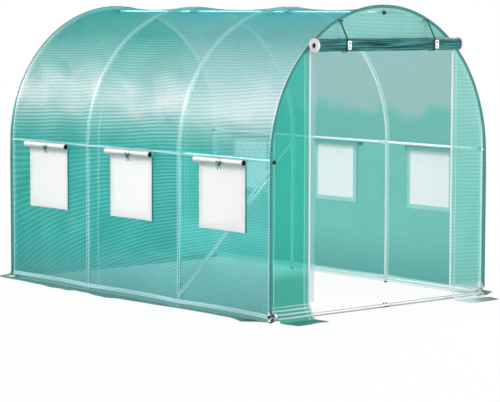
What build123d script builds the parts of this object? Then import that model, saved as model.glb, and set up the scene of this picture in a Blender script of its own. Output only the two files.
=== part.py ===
from build123d import *
from math import degrees, sqrt
import os

# A walk-in polytunnel greenhouse, in millimetres.
# The origin is on the ground under the middle of the tunnel.
# +X is to the right for someone who faces the door, +Y runs to the rear wall and +Z is up.

# Driving dimensions of the frame
frame_length = 3000
frame_width = 2000
leg_height = 1070
middle_bay = 1070
tube_d = 25
tab_width = 24
tab_thickness = 3
tab_length = 24
crush_length = 45
ground_rail_height = 40
end_bar_height = 14
end_bar_inset = 4
foot_cap_height = 10
brace_foot_height = 82
brace_head_drop = 48

# Driving dimensions of the cover
film = 2
skirt_width = 150
skirt_corner_cut = 175
door_width = 1350
door_rise = 730
tape_width = 12
tape_thickness = 4

# Driving dimensions of the rolled door and its ties
door_roll_d = 95
door_roll_length = 1380
door_roll_lift = 25
door_tie_spacing = 830
door_tie_width = 22
door_tie_thickness = 2

# Driving dimensions of the side windows
window_width = 400
window_height = 400
window_drop = 50
window_shift = 25
net_lap = 44
net_thickness = 1.5
window_roll_d = 48
window_roll_length = 530
window_roll_drop = 25

# Named clearances
seat = 0.3
seam = 0.3

# Sizes worked out from the ones above
tube_r = tube_d / 2
arch_r = frame_width / 2
rail_drop = tube_d + seat
stack_step = tab_thickness + seat
crown_gap = tube_r + seat
cover_r = arch_r + crown_gap
cover_end = frame_length / 2 + crown_gap
panel_face = cover_end + seam
panel_front = panel_face + film
outer_r = cover_r + film
film_foot = film + seam
door_height = leg_height + door_rise
door_roll_height = door_height + door_roll_lift
window_centre_height = leg_height - window_drop - window_height / 2
window_roll_height = leg_height - window_roll_drop
hoop_stations = [-frame_length / 2, -middle_bay / 2, middle_bay / 2, frame_length / 2]
hoop_names = ["hoop_front", "hoop_second", "hoop_third", "hoop_rear"]
bay_names = ["front", "middle", "rear"]
bays = list(zip(hoop_stations[:-1], hoop_stations[1:]))

os.makedirs("parts", exist_ok=True)


def save(part, label):
    part.label = label
    export_step(part, f"parts/{label}.step")


# Hoops
# Each hoop is one bent tube: two straight legs with a half circle between them.
for station, label in zip(hoop_stations, hoop_names):
    with BuildPart() as hoop:
        with BuildLine(Plane.XZ.offset(-station)) as hoop_path:
            left_leg = Line((-arch_r, foot_cap_height), (-arch_r, leg_height))
            arch = ThreePointArc((-arch_r, leg_height), (0, leg_height + arch_r), (arch_r, leg_height))
            right_leg = Line((arch_r, leg_height), (arch_r, foot_cap_height))
        with BuildSketch(Plane.XY.offset(foot_cap_height)):
            with Locations((-arch_r, station)):
                Circle(tube_r)
        sweep(path=hoop_path.line)
    save(hoop.part, label)

# Foot caps
# A black plastic plug closes the lower end of every leg and stands on the ground.
cap_edge = 2
with BuildPart() as foot_caps:
    with BuildSketch():
        for station in hoop_stations:
            with Locations((-arch_r, station), (arch_r, station)):
                Circle(tube_r)
    extrude(amount=foot_cap_height - seat)
    chamfer(foot_caps.edges().group_by(Axis.Z)[0], length=cap_edge)
save(foot_caps.part, "foot_caps")


# Rails
# A rail is a tube whose two ends are pressed flat and bolted against the hoops. The flat tab is
# flush with the side of the tube that faces the hoop. Where two rails meet, their tabs are stacked.
# A brace is the same tube with its tabs bent in line with the legs that they are bolted to.
def rail_tube(start, end, outward, end_step=0, tab_turn=None):
    facing = Vector(*outward)
    first_bolt, last_bolt = Vector(*start), Vector(*end)
    first_turn = Vector(*tab_turn) if tab_turn else (last_bolt - first_bolt).normalized()
    elbow_inset = (tab_length + crush_length) / 2
    first_elbow = first_bolt + first_turn * elbow_inset
    last_elbow = last_bolt - first_turn * elbow_inset
    axis = (last_elbow - first_elbow).normalized()
    body_length = (last_elbow - first_elbow).length - crush_length
    with BuildPart() as tube:
        body_start = first_elbow + axis * (crush_length / 2)
        with BuildSketch(Plane(body_start, x_dir=axis.cross(facing), z_dir=axis)):
            Circle(tube_r)
        extrude(amount=body_length)
        tube_ends = (
            (first_bolt, first_elbow, first_turn, axis, 0),
            (last_bolt, last_elbow, first_turn * -1, axis * -1, end_step),
        )
        for bolt, elbow, turn, along, step in tube_ends:
            tab_middle = bolt + facing * (tube_r - tab_thickness / 2 - step)
            tab_inner = Plane(tab_middle + turn * (tab_length / 2), x_dir=turn.cross(facing), z_dir=turn)
            body_end = Plane(elbow + along * (crush_length / 2), x_dir=along.cross(facing), z_dir=along)
            with BuildSketch(tab_inner):
                Rectangle(tab_width, tab_thickness)
            extrude(amount=-tab_length)
            with BuildSketch(tab_inner):
                Rectangle(tab_width, tab_thickness)
            with BuildSketch(body_end):
                Circle(tube_r)
            loft()
    return tube.part


def rails_along_bays(x, z, outward):
    tubes = []
    for number, (near, far) in enumerate(bays):
        far_step = stack_step if number < len(bays) - 1 else 0
        tubes.append(rail_tube((x, near, z), (x, far, z), outward, end_step=far_step))
    return tubes


rail_x = arch_r - rail_drop
rail_lines = {
    "ridge_pole": rails_along_bays(0, leg_height + arch_r - rail_drop, (0, 0, 1)),
    "left_side_rail": rails_along_bays(-rail_x, leg_height, (-1, 0, 0)),
    "right_side_rail": rails_along_bays(rail_x, leg_height, (1, 0, 0)),
    "left_ground_rail": rails_along_bays(-rail_x, ground_rail_height, (-1, 0, 0)),
    "right_ground_rail": rails_along_bays(rail_x, ground_rail_height, (1, 0, 0)),
}
for label, tubes in rail_lines.items():
    with BuildPart() as rail:
        add(tubes)
    save(rail.part, label)

# Ground bars
# A bar on the ground ties the two legs of each end hoop.
for side, label in ((-1, "front_ground_bar"), (1, "rear_ground_bar")):
    bar_y = side * (frame_length / 2 - rail_drop)
    bar_reach = arch_r - end_bar_inset
    bar = rail_tube((-bar_reach, bar_y, end_bar_height), (bar_reach, bar_y, end_bar_height), (0, side, 0))
    with BuildPart() as ground_bar:
        add(bar)
    save(ground_bar.part, label)

# Braces
# One diagonal stiffens the front bay of the left wall, and one the rear bay of the right wall.
brace_head = leg_height - brace_head_drop
brace_ends = {
    "left_front_brace": (-1, hoop_stations[1], hoop_stations[0]),
    "right_rear_brace": (1, hoop_stations[3], hoop_stations[2]),
}
for label, (side, foot_station, head_station) in brace_ends.items():
    foot = (side * rail_x, foot_station, brace_foot_height)
    head = (side * rail_x, head_station, brace_head)
    with BuildPart() as brace:
        add(rail_tube(foot, head, (side, 0, 0), tab_turn=(0, 0, 1)))
    save(brace.part, label)


# Cover film
# The film is stretched over the hoops and pulled down between them until it lies on the rails.
# Its line along the tunnel is the same on the walls and on the roof: one shallow arc in each bay.
# The line is drawn in a plane whose local X runs along the tunnel and local Y points outwards.
def film_edge(near, far, height):
    middle_height = height - rail_drop
    start = near + seam / 2
    finish = far - seam / 2
    if near == hoop_stations[0]:
        Line((-cover_end, height), (near, height))
        start = near
    if far == hoop_stations[-1]:
        Line((far, height), (cover_end, height))
        finish = far
    ThreePointArc((start, height), ((near + far) / 2, middle_height), (finish, height))


def film_section(plane, near, far, lift, thickness):
    first = -cover_end if near == hoop_stations[0] else near + seam / 2
    last = cover_end if far == hoop_stations[-1] else far - seam / 2
    with BuildSketch(plane) as section:
        with BuildLine():
            film_edge(near, far, lift)
            film_edge(near, far, lift + thickness)
            Line((first, lift), (first, lift + thickness))
            Line((last, lift), (last, lift + thickness))
        make_face()
    return section.sketch


# Roof
# A quarter turn of the film line about the axis of the arches makes each half of a bay's roof.
roof_axes = {
    "left": Axis((0, 0, leg_height), (0, -1, 0)),
    "right": Axis((0, 0, leg_height), (0, 1, 0)),
}
ridge_turn = degrees(seam / cover_r)
for bay_name, (near, far) in zip(bay_names, bays):
    roof_section = film_section(Plane.YZ, near, far, leg_height + cover_r, film)
    for side_name, axis in roof_axes.items():
        start_section = roof_section.rotate(axis, ridge_turn / 2)
        with BuildPart() as roof:
            revolve(start_section, axis=axis, revolution_arc=90 - ridge_turn)
        save(roof.part, f"{side_name}_roof_{bay_name}")

# Side walls
# Below the arches the film hangs straight down to the ground, with a square hole for each window.
wall_planes = {
    "left": Plane((0, 0, film_foot), x_dir=(0, 1, 0), z_dir=(0, 0, 1)),
    "right": Plane((0, 0, film_foot), x_dir=(0, 1, 0), z_dir=(0, 0, -1)),
}
for bay_name, (near, far) in zip(bay_names, bays):
    window_station = (near + far) / 2 + window_shift
    for side_name, plane in wall_planes.items():
        side = -1 if side_name == "left" else 1
        wall_height = leg_height - seam / 2 - film_foot
        wall_section = film_section(plane, near, far, cover_r, film)
        with BuildPart() as wall:
            extrude(wall_section, amount=wall_height if side < 0 else -wall_height)
            with BuildSketch(Plane.YZ):
                with Locations((window_station, window_centre_height)):
                    Rectangle(window_width, window_height)
            extrude(amount=side * 2 * outer_r, mode=Mode.SUBTRACT)
        save(wall.part, f"{side_name}_wall_{bay_name}")

# Window nets
# A net patch is sewn over the outside of each window and laps onto the film all round.
net_width = window_width + 2 * net_lap
net_height = window_height + 2 * net_lap
for side_name, plane in wall_planes.items():
    side = -1 if side_name == "left" else 1
    net_sections = [film_section(plane, near, far, cover_r + film + seat, net_thickness) for near, far in bays]
    with BuildPart() as nets:
        for net_section in net_sections:
            extrude(net_section, amount=leg_height if side < 0 else -leg_height)
        with BuildSketch(Plane.YZ):
            for near, far in bays:
                with Locations(((near + far) / 2 + window_shift, window_centre_height)):
                    Rectangle(net_width, net_height)
        extrude(amount=side * 2 * outer_r, mode=Mode.INTERSECT)
    save(nets.part, f"{side_name}_window_nets")

# Window flaps
# Each window's film flap is rolled up into a tube above its net. The tube is straight, so it
# bears on the film where the film stands furthest out: at the net's edge or at the tube's end.
def film_depth(half_bay, offset):
    arc_r = (half_bay**2 + rail_drop**2) / (2 * rail_drop)
    return rail_drop - arc_r + sqrt(arc_r**2 - offset**2)


for side_name, side in (("left", -1), ("right", 1)):
    with BuildPart() as flaps:
        for near, far in bays:
            half_bay = (far - near) / 2
            net_proud = seat + net_thickness - film_depth(half_bay, net_width / 2 + window_shift)
            film_proud = -film_depth(half_bay, window_roll_length / 2 + window_shift)
            roll_x = outer_r + max(net_proud, film_proud) + seat + window_roll_d / 2
            roll_start = (near + far) / 2 + window_shift - window_roll_length / 2
            with BuildSketch(Plane.XZ.offset(-roll_start)):
                with Locations((side * roll_x, window_roll_height)):
                    Circle(window_roll_d / 2)
            extrude(amount=-window_roll_length)
    save(flaps.part, f"{side_name}_window_flaps")


# End panels
# The rear end is one flat sheet. The front end is three, beside and above the doorway.
def end_outline():
    with BuildSketch() as outline:
        with BuildLine():
            Line((-outer_r, film_foot), (outer_r, film_foot))
            Line((outer_r, film_foot), (outer_r, leg_height))
            ThreePointArc((outer_r, leg_height), (0, leg_height + outer_r), (-outer_r, leg_height))
            Line((-outer_r, leg_height), (-outer_r, film_foot))
        make_face()
    return outline.sketch


with BuildPart() as rear_panel:
    with BuildSketch(Plane.XZ.offset(-panel_face)):
        add(end_outline())
    extrude(amount=-film)
save(rear_panel.part, "rear_panel")

door_half = door_width / 2
front_cuts = {
    "front_panel_left": (-outer_r, -door_half, 0, door_height),
    "front_panel_right": (door_half, outer_r, 0, door_height),
    "front_panel_top": (-outer_r, outer_r, door_height + seam, 2 * door_height),
}
for label, (low_x, high_x, low_z, high_z) in front_cuts.items():
    with BuildPart() as front_panel:
        with BuildSketch(Plane.XZ.offset(panel_face)):
            add(end_outline())
            with Locations(((low_x + high_x) / 2, (low_z + high_z) / 2)):
                Rectangle(high_x - low_x, high_z - low_z, mode=Mode.INTERSECT)
        extrude(amount=film)
    save(front_panel.part, label)

# Door edge tapes
# A white zip tape is sewn down each upright edge of the doorway.
tape_height = door_height - film_foot
with BuildPart() as door_tapes:
    with BuildSketch(Plane.XY.offset(film_foot)):
        for side in (-1, 1):
            with Locations((side * (door_half - seam - tape_width / 2), -panel_face - film / 2)):
                Rectangle(tape_width, tape_thickness)
    extrude(amount=tape_height)
save(door_tapes.part, "door_tapes")

# Rolled door
# The door film is rolled up on itself and hangs over the doorway in two ties.
roll_y = -(panel_front + 2 * seat + door_tie_thickness + seat + door_roll_d / 2)
with BuildPart() as door_roll:
    with BuildSketch(Plane.YZ.offset(-door_roll_length / 2)):
        with Locations((roll_y, door_roll_height)):
            Circle(door_roll_d / 2)
    extrude(amount=door_roll_length)
save(door_roll.part, "door_roll")

# Door ties
# Each tie is a loop of webbing. It is sewn to the edge of the arch and passes under the roll.
tie_x = door_tie_spacing / 2
tie_top = leg_height + sqrt(outer_r**2 - tie_x**2)
inner_loop_r = door_roll_d / 2 + seat
top_bend_r = 1
top_bend_y = -(panel_front + seat + door_tie_thickness + top_bend_r)
with BuildPart() as door_ties:
    for side in (-1, 1):
        tie_plane = Plane.YZ.offset(side * tie_x - door_tie_width / 2)
        with BuildSketch(tie_plane):
            for extra, mode in ((door_tie_thickness, Mode.ADD), (0, Mode.SUBTRACT)):
                with BuildSketch(mode=mode):
                    with Locations((roll_y, door_roll_height)):
                        Circle(inner_loop_r + extra)
                    with Locations((top_bend_y, tie_top)):
                        Circle(top_bend_r + extra)
                    make_hull()
        extrude(amount=door_tie_width)
save(door_ties.part, "door_ties")

# Skirts
# The film turns outwards on the ground, where soil or stones hold it down.
skirt_edge = outer_r + skirt_width
skirt_end = panel_front + skirt_width
for side_name, side in (("left", -1), ("right", 1)):
    with BuildPart() as skirt:
        with BuildSketch():
            with BuildLine():
                Polyline(
                    (side * cover_r, -cover_end),
                    (side * outer_r, -cover_end),
                    (side * skirt_edge, -cover_end + skirt_corner_cut),
                    (side * skirt_edge, cover_end - skirt_corner_cut),
                    (side * outer_r, cover_end),
                    (side * cover_r, cover_end),
                )
                for number, (near, far) in enumerate(bays):
                    if number == 0:
                        Line((side * cover_r, -cover_end), (side * cover_r, near))
                    middle = (side * (cover_r - rail_drop), (near + far) / 2)
                    ThreePointArc((side * cover_r, near), middle, (side * cover_r, far))
                Line((side * cover_r, far), (side * cover_r, cover_end))
            make_face()
        extrude(amount=film)
    save(skirt.part, f"{side_name}_skirt")

skirt_strips = {
    "rear_skirt": (-outer_r, outer_r, 1),
    "front_left_skirt": (-outer_r, -door_half, -1),
    "front_right_skirt": (door_half, outer_r, -1),
}
for label, (low_x, high_x, side) in skirt_strips.items():
    inner_y = side * panel_face
    outer_y = side * skirt_end
    with BuildPart() as skirt:
        with BuildSketch():
            with Locations(((low_x + high_x) / 2, (inner_y + outer_y) / 2)):
                Rectangle(high_x - low_x, abs(outer_y - inner_y))
        extrude(amount=film)
    save(skirt.part, label)
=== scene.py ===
from math import cos, pi, radians, sin, sqrt

import bmesh
import bpy
import numpy as np
from mathutils import Matrix, Vector


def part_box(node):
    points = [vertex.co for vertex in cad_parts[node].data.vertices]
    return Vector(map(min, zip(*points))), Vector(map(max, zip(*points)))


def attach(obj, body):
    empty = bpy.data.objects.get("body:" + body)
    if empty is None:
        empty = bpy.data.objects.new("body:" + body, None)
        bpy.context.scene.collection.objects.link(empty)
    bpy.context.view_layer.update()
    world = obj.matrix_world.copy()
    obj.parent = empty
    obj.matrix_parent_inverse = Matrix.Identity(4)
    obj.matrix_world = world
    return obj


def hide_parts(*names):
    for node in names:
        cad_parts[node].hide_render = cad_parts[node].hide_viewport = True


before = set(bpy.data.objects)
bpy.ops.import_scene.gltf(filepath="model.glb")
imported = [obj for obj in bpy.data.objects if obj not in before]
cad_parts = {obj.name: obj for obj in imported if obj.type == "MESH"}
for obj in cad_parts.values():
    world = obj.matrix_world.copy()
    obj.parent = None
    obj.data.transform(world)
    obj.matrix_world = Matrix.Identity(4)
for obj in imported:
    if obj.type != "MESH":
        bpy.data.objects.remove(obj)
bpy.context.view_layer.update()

scene = bpy.context.scene

# Camera
# The tunnel is seen from the left front corner, from a little above head height and from far
# away, so that its long edges run almost parallel.
def linked(name, data):
    made = bpy.data.objects.new(name, data)
    scene.collection.objects.link(made)
    return made


camera_place = (-9.701, -11.458, 2.055)
camera_azimuth, camera_elevation, camera_roll = radians(40.54), radians(-5.38), radians(0.12)
looking = Vector((
    sin(camera_azimuth) * cos(camera_elevation),
    cos(camera_azimuth) * cos(camera_elevation),
    sin(camera_elevation),
))
level_right = Vector((cos(camera_azimuth), -sin(camera_azimuth), 0))
level_up = level_right.cross(looking)
camera_right = cos(camera_roll) * level_right + sin(camera_roll) * level_up
camera_up = -sin(camera_roll) * level_right + cos(camera_roll) * level_up
camera_turn = Matrix((camera_right, camera_up, -looking)).transposed().to_4x4()
camera_lens = bpy.data.cameras.new("camera")
camera_lens.lens, camera_lens.sensor_width, camera_lens.clip_end = 145.7, 36, 2000
camera = linked("camera", camera_lens)
camera.matrix_world = Matrix.Translation(camera_place) @ camera_turn
scene.camera = camera

# Studio
# A white floor and a white surround, one broad soft lamp on each side, and two long lamps behind
# the left side, whose reflection is the pale band along the shoulder of the roof. A dim panel
# inside lights each wall from within, and one on the ground stands for the light that it throws up.
def feed(node, sockets):
    for name, value in sockets.items():
        socket = node.inputs[name]
        if isinstance(value, bpy.types.NodeSocket):
            node.id_data.links.new(value, socket)
        else:
            socket.default_value = (*value, 1) if socket.type == "RGBA" else value
    return node


def add_node(tree, kind, sockets=None, **settings):
    made = tree.nodes.new(kind)
    for name, value in settings.items():
        setattr(made, name, value)
    return feed(made, sockets or {})


def reckon(operation, *values):
    tree = next(value.id_data for value in values if isinstance(value, bpy.types.NodeSocket))
    return add_node(tree, "ShaderNodeMath", dict(enumerate(values)), operation=operation).outputs[0]


def times(product, *factors):
    for factor in factors:
        product = reckon("MULTIPLY", product, factor)
    return product


def ramp(value, start, end, low=0.0, high=1.0, kind="LINEAR"):
    return add_node(value.id_data, "ShaderNodeMapRange", {
        "Value": value, "From Min": start, "From Max": end, "To Min": low, "To Max": high,
    }, interpolation_type=kind).outputs[0]


def new_finish(name):
    made = bpy.data.materials.new(name)
    made.use_nodes = True
    return made, made.node_tree, made.node_tree.nodes["Principled BSDF"]


def overlaid(share, under, over):
    return add_node(under.id_data, "ShaderNodeMixShader", {
        0: share, 1: under.outputs[0], 2: over.outputs[0],
    })


def show(shader):
    feed(shader.id_data.nodes["Material Output"], {"Surface": shader.outputs[0]})


def object_place(tree):
    return add_node(tree, "ShaderNodeTexCoord").outputs["Object"]


def seen_directly(tree):
    path = add_node(tree, "ShaderNodeLightPath").outputs
    seen = reckon("MAXIMUM", path["Is Camera Ray"], path["Is Glossy Ray"])
    return reckon("MAXIMUM", seen, path["Is Transmission Ray"])


white, ambient_level, floor_reach = (1, 1, 1), 0.58, 300
scene.world = bpy.data.worlds.new("surround")
scene.world.use_nodes = True
sky = scene.world.node_tree
feed(sky.nodes["Background"], {
    "Color": white, "Strength": ramp(seen_directly(sky), 0.0, 1.0, ambient_level, 1.0),
})
floor_mesh = bpy.data.meshes.new("floor")
floor_mesh.from_pydata(
    [(x * floor_reach, y * floor_reach, 0) for x, y in ((-1, -1), (1, -1), (1, 1), (-1, 1))],
    [], [(0, 1, 2, 3)],
)
floor = linked("floor", floor_mesh)
floor_paint, floor_tree, floor_surface = new_finish("floor_paint")
feed(floor_surface, {"Base Color": (0.9, 0.9, 0.9), "Roughness": 0.9, "Specular IOR Level": 0.0})
floor_glow = add_node(floor_tree, "ShaderNodeEmission", {"Color": white, "Strength": 1.0})
floor_place = object_place(floor_tree)
floor_away = add_node(floor_tree, "ShaderNodeVectorMath", {0: floor_place}, operation="LENGTH")
floor_fade = ramp(floor_away.outputs["Value"], 3.5, 9.0, 0.94, 1.0)
show(overlaid(times(seen_directly(floor_tree), floor_fade), floor_surface, floor_glow))
floor_mesh.materials.append(floor_paint)


def soft_lamp(name, place, aim, width, height, power, tint=white, hidden=()):
    lamp = bpy.data.lights.new(name, "AREA")
    lamp.shape = "RECTANGLE"
    lamp.size, lamp.size_y, lamp.energy, lamp.color = width, height, power, tint
    made = linked(name, lamp)
    turn = (Vector(aim) - Vector(place)).to_track_quat("-Z", "Y").to_matrix().to_4x4()
    made.matrix_world = Matrix.Translation(place) @ turn
    for ray in ("camera", *hidden):
        setattr(made, f"visible_{ray}", False)


haze_tint = (1.0, 0.64, 0.70)
soft_lamp("left_lamp", (-8.5, 3.0, 7.5), (0, 0, 1), 3.0, 3.0, 440)
soft_lamp("front_lamp", (2.5, -8.5, 3.6), (0.3, 0, 0.8), 4.0, 3.0, 280)
soft_lamp("right_lamp", (8.0, 1.5, 5.0), (0, 0, 1), 4.0, 3.0, 300)
soft_lamp("shoulder_lamp", (-10.4, 13.4, 7.6), (0, 0, 1.6), 17.0, 4.8, 10500, haze_tint, ["diffuse"])
soft_lamp("roof_lamp", (-4.6, 14.4, 11.6), (0, 0, 1.8), 12.0, 3.6, 700, haze_tint, ["diffuse"])
for side, power in ((-1, 9), (1, 4)):
    soft_lamp(f"inner_lamp_{side}", (-side * 0.25, 0, 1.0), (side, 0, 1.0), 2.6, 1.3, power,
              hidden=["glossy"])
soft_lamp("ground_bounce", (0, 0, 0.05), (0, 0, 1.0), 1.6, 1.6, 2.5, (1.0, 0.88, 0.90), ["glossy"])

# Frame tubes
# Hoops, rails, ground bars and braces are steel tube dipped in zinc: a pale skin with faint
# spangle and duller patches. Undersides are painted darker as painted shade, the two ground bars
# from higher up, with a painted dark line of shade along their top edge. They keep their shapes
# and get that skin here.
def fused(value, factor, added):
    return reckon("MULTIPLY_ADD", value, factor, added)


def blend(factor, under, over):
    return add_node(
        factor.id_data, "ShaderNodeMix", {"Factor": factor, 6: under, 7: over}, data_type="RGBA"
    ).outputs[2]


def noise(place, scale, detail):
    return add_node(place.id_data, "ShaderNodeTexNoise", {
        "Vector": place, "Scale": scale, "Detail": detail,
    }).outputs["Fac"]


def parts_of(vector):
    return add_node(vector.id_data, "ShaderNodeSeparateXYZ", {0: vector}).outputs


def facing_up(tree):
    return parts_of(add_node(tree, "ShaderNodeNewGeometry").outputs["Normal"])["Z"]


def uneven(height, strength, distance):
    return add_node(height.id_data, "ShaderNodeBump", {
        "Height": height, "Strength": strength, "Distance": distance,
    }).outputs[0]


tube_r = 0.0125
bar_top, bar_half = 0.027, 0.955
zinc, zinc_tree, zinc_surface = new_finish("zinc_skin")
zinc_place = object_place(zinc_tree)
spangle = add_node(zinc_tree, "ShaderNodeTexVoronoi", {"Vector": zinc_place, "Scale": 95.0})
spangle = add_node(zinc_tree, "ShaderNodeSeparateColor", {0: spangle.outputs["Color"]}).outputs[0]
dull_patch = noise(zinc_place, 7.0, 5.0)
zinc_colour = blend(
    fused(spangle, 0.22, times(dull_patch, 0.75)), (0.97, 0.97, 0.97), (0.86, 0.86, 0.87))
zinc_spot, zinc_up = parts_of(zinc_place), facing_up(zinc_tree)
on_bar = times(reckon("LESS_THAN", zinc_spot["Z"], bar_top),
               reckon("LESS_THAN", reckon("ABSOLUTE", zinc_spot["X"]), bar_half))
# Painted shade: darker on faces that point down, from higher up on the two ground bars.
underside_shade = ramp(fused(on_bar, -0.75, zinc_up), -0.98, -0.5, 0.8, 0.0)
zinc_colour = blend(underside_shade, zinc_colour, (0.30, 0.285, 0.295))
# Painted shade: a dark line along the top edge of the two ground bars.
top_edge_shade = times(on_bar, ramp(zinc_up, 0.80, 0.93, 0.0, 0.85))
feed(zinc_surface, {
    "Base Color": blend(top_edge_shade, zinc_colour, (0.16, 0.15, 0.16)), "Metallic": 0.35,
    "Roughness": ramp(dull_patch, 0.3, 0.7, 0.26, 0.46),
    "Normal": uneven(reckon("ADD", times(spangle, 0.25), noise(zinc_place, 420.0, 3.0)), 0.25, 0.0004),
})
for name in (
    "hoop_front", "hoop_second", "hoop_third", "hoop_rear", "ridge_pole", "left_side_rail",
    "right_side_rail", "left_ground_rail", "right_ground_rail", "front_ground_bar",
    "rear_ground_bar", "left_front_brace", "right_rear_brace",
):
    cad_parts[name].material_slots[0].material = zinc

# Foot caps
# A black plastic plug closes the foot of each leg, scuffed and dusty where it stands.
foot_plastic, foot_tree, foot_surface = new_finish("foot_plastic")
foot_scuff = noise(object_place(foot_tree), 240.0, 4.0)
feed(foot_surface, {
    "Base Color": blend(foot_scuff, (0.012, 0.012, 0.013), (0.05, 0.05, 0.05)), "Roughness": 0.55,
    "Normal": uneven(foot_scuff, 0.3, 0.0005),
})
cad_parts["foot_caps"].material_slots[0].material = foot_plastic

# Joint bolts
# Where a rail, bar or brace is bolted to a hoop, a washer and a domed nut stand on the joint:
# black at the ends, zinc at the middle hoops, small on the sleeves of the bars and at the tops of
# the door's ties. Each is set on a point that carries the direction it faces.
hoop_stations = (-1.5, -0.535, 0.535, 1.5)
leg_top, arch_r, rail_x = 1.07, 1.0, 0.9747
tab_back, bar_joint_x, bar_y = 0.0095, 0.075, 1.4747
leg_inner, leg_outer, hoop_outer = 0.984, 1.0126, 1.5126
black_nuts, zinc_nuts, bar_nuts = [], [], []
for station in hoop_stations:
    nuts = black_nuts if abs(station) > 1 else zinc_nuts
    for side in (-1, 1):
        for height in (leg_top, 0.04):
            nuts.append(((side * (rail_x + tab_back), station, height), (-side, 0, 0)))
    nuts.append(((0, station, leg_top + rail_x + tab_back), (0, 0, -1)))
crown_lean, crown_r = radians(67), 0.987
for end in (-1, 1):
    for side in (-1, 1):
        black_nuts.append(((side * leg_inner, end * (bar_y + tab_back), 0.016), (0, -end, 0)))
        black_nuts.append(((side, end * hoop_outer, 0.019), (0, end, 0)))
        if end < 0:
            black_nuts.append(((side * leg_outer, end * 1.5, 0.040), (side, 0, 0)))
            black_nuts.append(((side, end * hoop_outer, 0.052), (0, end, 0)))
        black_nuts.append((
            (side * cos(crown_lean) * crown_r, end * 1.5, leg_top + sin(crown_lean) * crown_r),
            (-side * cos(crown_lean), 0, -sin(crown_lean)),
        ))
    for off in (-0.014, 0.014):
        bar_nuts.append(((bar_joint_x + off, end * bar_y, 0.0276), (0, 0, 1)))
        bar_nuts.append(((bar_joint_x + off, end * (bar_y + 0.0136), 0.0105), (0, end, 0)))
front_bolt_y = -1.5172
black_nuts += [((x, front_bolt_y, z), (0, -1, 0)) for x, z in ((-0.989, 1.063), (0, 2.041))]
bar_nuts += [((side * 0.387, front_bolt_y, 1.990), (0, -1, 0)) for side in (-1, 1)]
zinc_nuts.append(((0.989, front_bolt_y, 1.063), (0, -1, 0)))
for side, foot_station, head_station in ((-1, -0.535, -1.5), (1, 1.5, 0.535)):
    zinc_nuts.append(((side * (rail_x + tab_back), foot_station, 0.082), (-side, 0, 0)))
    zinc_nuts.append(((side * (rail_x + tab_back), head_station, 1.022), (-side, 0, 0)))


def sized_tree(name, sizes):
    tree = bpy.data.node_groups.new(name, "GeometryNodeTree")
    for size, way, kind in (
        ("Geometry", "INPUT", "Geometry"), *[(size, "INPUT", "Float") for size in sizes],
        ("Geometry", "OUTPUT", "Geometry"),
    ):
        tree.interface.new_socket(size, in_out=way, socket_type=f"NodeSocket{kind}")
    return tree, tree.nodes.new("NodeGroupInput").outputs


def set_on_points(tree, given, finish, turns, sockets):
    rotation = {}
    for axis, pivot, kept in turns:
        way = add_node(tree, "GeometryNodeInputNamedAttribute", {"Name": kept}, data_type="FLOAT_VECTOR")
        turned = add_node(
            tree, "FunctionNodeAlignRotationToVector", {"Vector": way.outputs[0], **rotation},
            axis=axis, pivot_axis=pivot,
        )
        rotation = {"Rotation": turned.outputs[0]}
    placed = add_node(
        tree, "GeometryNodeInstanceOnPoints", {"Points": given["Geometry"], **rotation, **sockets})
    real = add_node(tree, "GeometryNodeRealizeInstances", {0: placed.outputs[0]})
    skinned = add_node(tree, "GeometryNodeSetMaterial", {"Geometry": real.outputs[0], "Material": finish})
    feed(tree.nodes.new("NodeGroupOutput"), {0: skinned.outputs[0]})
    return tree


def fastener_tree(name, finish):
    tree, given = sized_tree(name, ("washer_d", "nut_d", "nut_h"))
    washer_h = 0.0024
    nut_r, half_h = times(given["nut_d"], 0.5), times(given["nut_h"], 0.5)
    dome_r = times(nut_r, 0.84)

    def vector(**parts):
        return add_node(tree, "ShaderNodeCombineXYZ", parts).outputs[0]

    def cylinder(sides, r, depth):
        return add_node(
            tree, "GeometryNodeMeshCylinder", {"Vertices": sides, "Radius": r, "Depth": depth})

    dome = add_node(tree, "GeometryNodeMeshUVSphere", {"Segments": 14, "Rings": 8, "Radius": 1.0})
    whole = add_node(tree, "GeometryNodeJoinGeometry")
    for shape, place in (
        (dome, {"Translation": vector(Z=fused(given["nut_h"], 0.5, 0.0022)),
                "Scale": vector(X=dome_r, Y=dome_r, Z=half_h)}),
        (cylinder(6, nut_r, half_h), {"Translation": vector(Z=fused(given["nut_h"], 0.25, washer_h))}),
        (cylinder(20, times(given["washer_d"], 0.5), washer_h), {"Translation": (0, 0, washer_h / 2)}),
    ):
        moved = add_node(tree, "GeometryNodeTransform", {"Geometry": shape.outputs["Mesh"], **place})
        feed(whole, {0: moved.outputs[0]})
    return set_on_points(
        tree, given, finish, [("Z", "AUTO", "aim")], {"Instance": whole.outputs[0]})


def aimed_points(name, places, **ways):
    mesh = bpy.data.meshes.new(name)
    mesh.from_pydata(places, [], [])
    for kept, way in ways.items():
        mesh.attributes.new(kept, "FLOAT_VECTOR", "POINT").data.foreach_set("vector", np.ravel(way).tolist())
    return linked(name, mesh)


def grown(made, tree, inputs):
    growth = made.modifiers.new("growth", "NODES")
    growth.node_group = tree
    sockets = {item.name: item.identifier for item in tree.interface.items_tree if item.in_out == "INPUT"}
    for name, value in inputs.items():
        growth[sockets[name]] = value
    bpy.context.view_layer.update()
    plain = bpy.data.meshes.new_from_object(made.evaluated_get(bpy.context.evaluated_depsgraph_get()))
    made.modifiers.remove(growth)
    made.data = plain
    return made


def finish_piece(made, smooth=True):
    for polygon in made.data.polygons:
        polygon.use_smooth = smooth
    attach(made, "root")
    return made


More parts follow.
